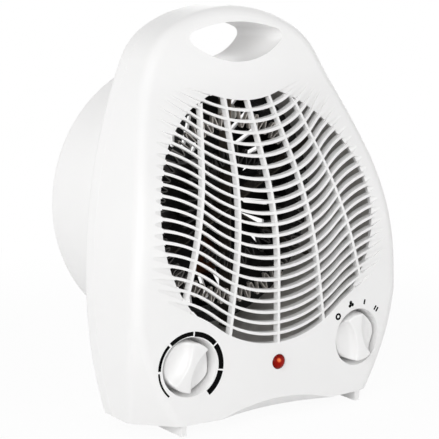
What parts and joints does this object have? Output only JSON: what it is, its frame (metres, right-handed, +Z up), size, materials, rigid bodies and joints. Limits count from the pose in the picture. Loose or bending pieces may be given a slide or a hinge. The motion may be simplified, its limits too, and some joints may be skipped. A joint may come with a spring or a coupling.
{
  "type": "portable fan heater",
  "caption": "Upright white portable fan heater with a hand hole, a round grille of U-shaped slats, two rotary controls, a red lamp, skid feet and a fan in a rear drum.",
  "frame": {"origin": "on the floor under the middle of the object's overall box, knobs included", "axes": "+Z up, the front with the grille faces -Y, +X to the right seen from the front"},
  "size_m": [0.194, 0.1226, 0.245],
  "materials": {
    "white_shell": "semi-gloss moulded",
    "white_knob": "semi-gloss moulded",
    "red_lens": "translucent",
    "black_plastic": "matte moulded",
    "cream_plastic": "matte moulded",
    "zinc_sheet": "galvanised",
    "steel": "bright",
    "laminations": "stacked sheet",
    "copper_winding": "enamelled wire",
    "fan_aluminium": "pressed sheet",
    "mica": "flaky board",
    "resistance_ribbon": "oxidised",
    "ceramic_white": "glazed ceramic"
  },
  "bodies": {
    "housing": {"front_shell": "white_shell", "rear_shell": "white_shell", "left_foot": "white_shell", "right_foot": "white_shell", "air_duct": "zinc_sheet", "fan_plate": "zinc_sheet", "mica_frame": "mica", "outer_heating_ribbon": "resistance_ribbon", "inner_heating_ribbon": "resistance_ribbon", "thermal_cutout": "ceramic_white", "thermal_fuse": "ceramic_white", "motor_core": "laminations", "motor_winding": "copper_winding", "front_bearing_bracket": "zinc_sheet", "rear_bearing_bracket": "zinc_sheet", "thermostat": "cream_plastic", "rotary_switch": "black_plastic", "indicator_lens": "red_lens", "lamp_holder": "cream_plastic", "terminal_block": "cream_plastic", "inlet_bush": "white_shell", "shell_screws": "steel", "plate_screws": "steel", "motor_screws": "steel", "bracket_screws": "steel"},
    "fan_rotor": {"rotor": "steel", "fan_shaft": "steel", "fan_impeller": "fan_aluminium", "fan_clip": "steel"},
    "thermostat_control": {"thermostat_knob": "white_knob", "thermostat_shaft": "cream_plastic"},
    "switch_control": {"switch_knob": "white_knob", "switch_shaft": "cream_plastic"}
  },
  "joints": [
    {"name": "fan_spin", "type": "hinge", "parent": "housing", "child": "fan_rotor", "pos_m": [0, 0, 0.122], "axis": [0, 1, 0], "continuous": true},
    {"name": "thermostat_turn", "type": "hinge", "parent": "housing", "child": "thermostat_control", "pos_m": [-0.0619, -0.05, 0.0419], "axis": [0, 1, 0], "range_deg": [-162, 108]},
    {"name": "switch_turn", "type": "hinge", "parent": "housing", "child": "switch_control", "pos_m": [0.0619, -0.05, 0.0419], "axis": [0, 1, 0], "range_deg": [-34, 68]}
  ]
}
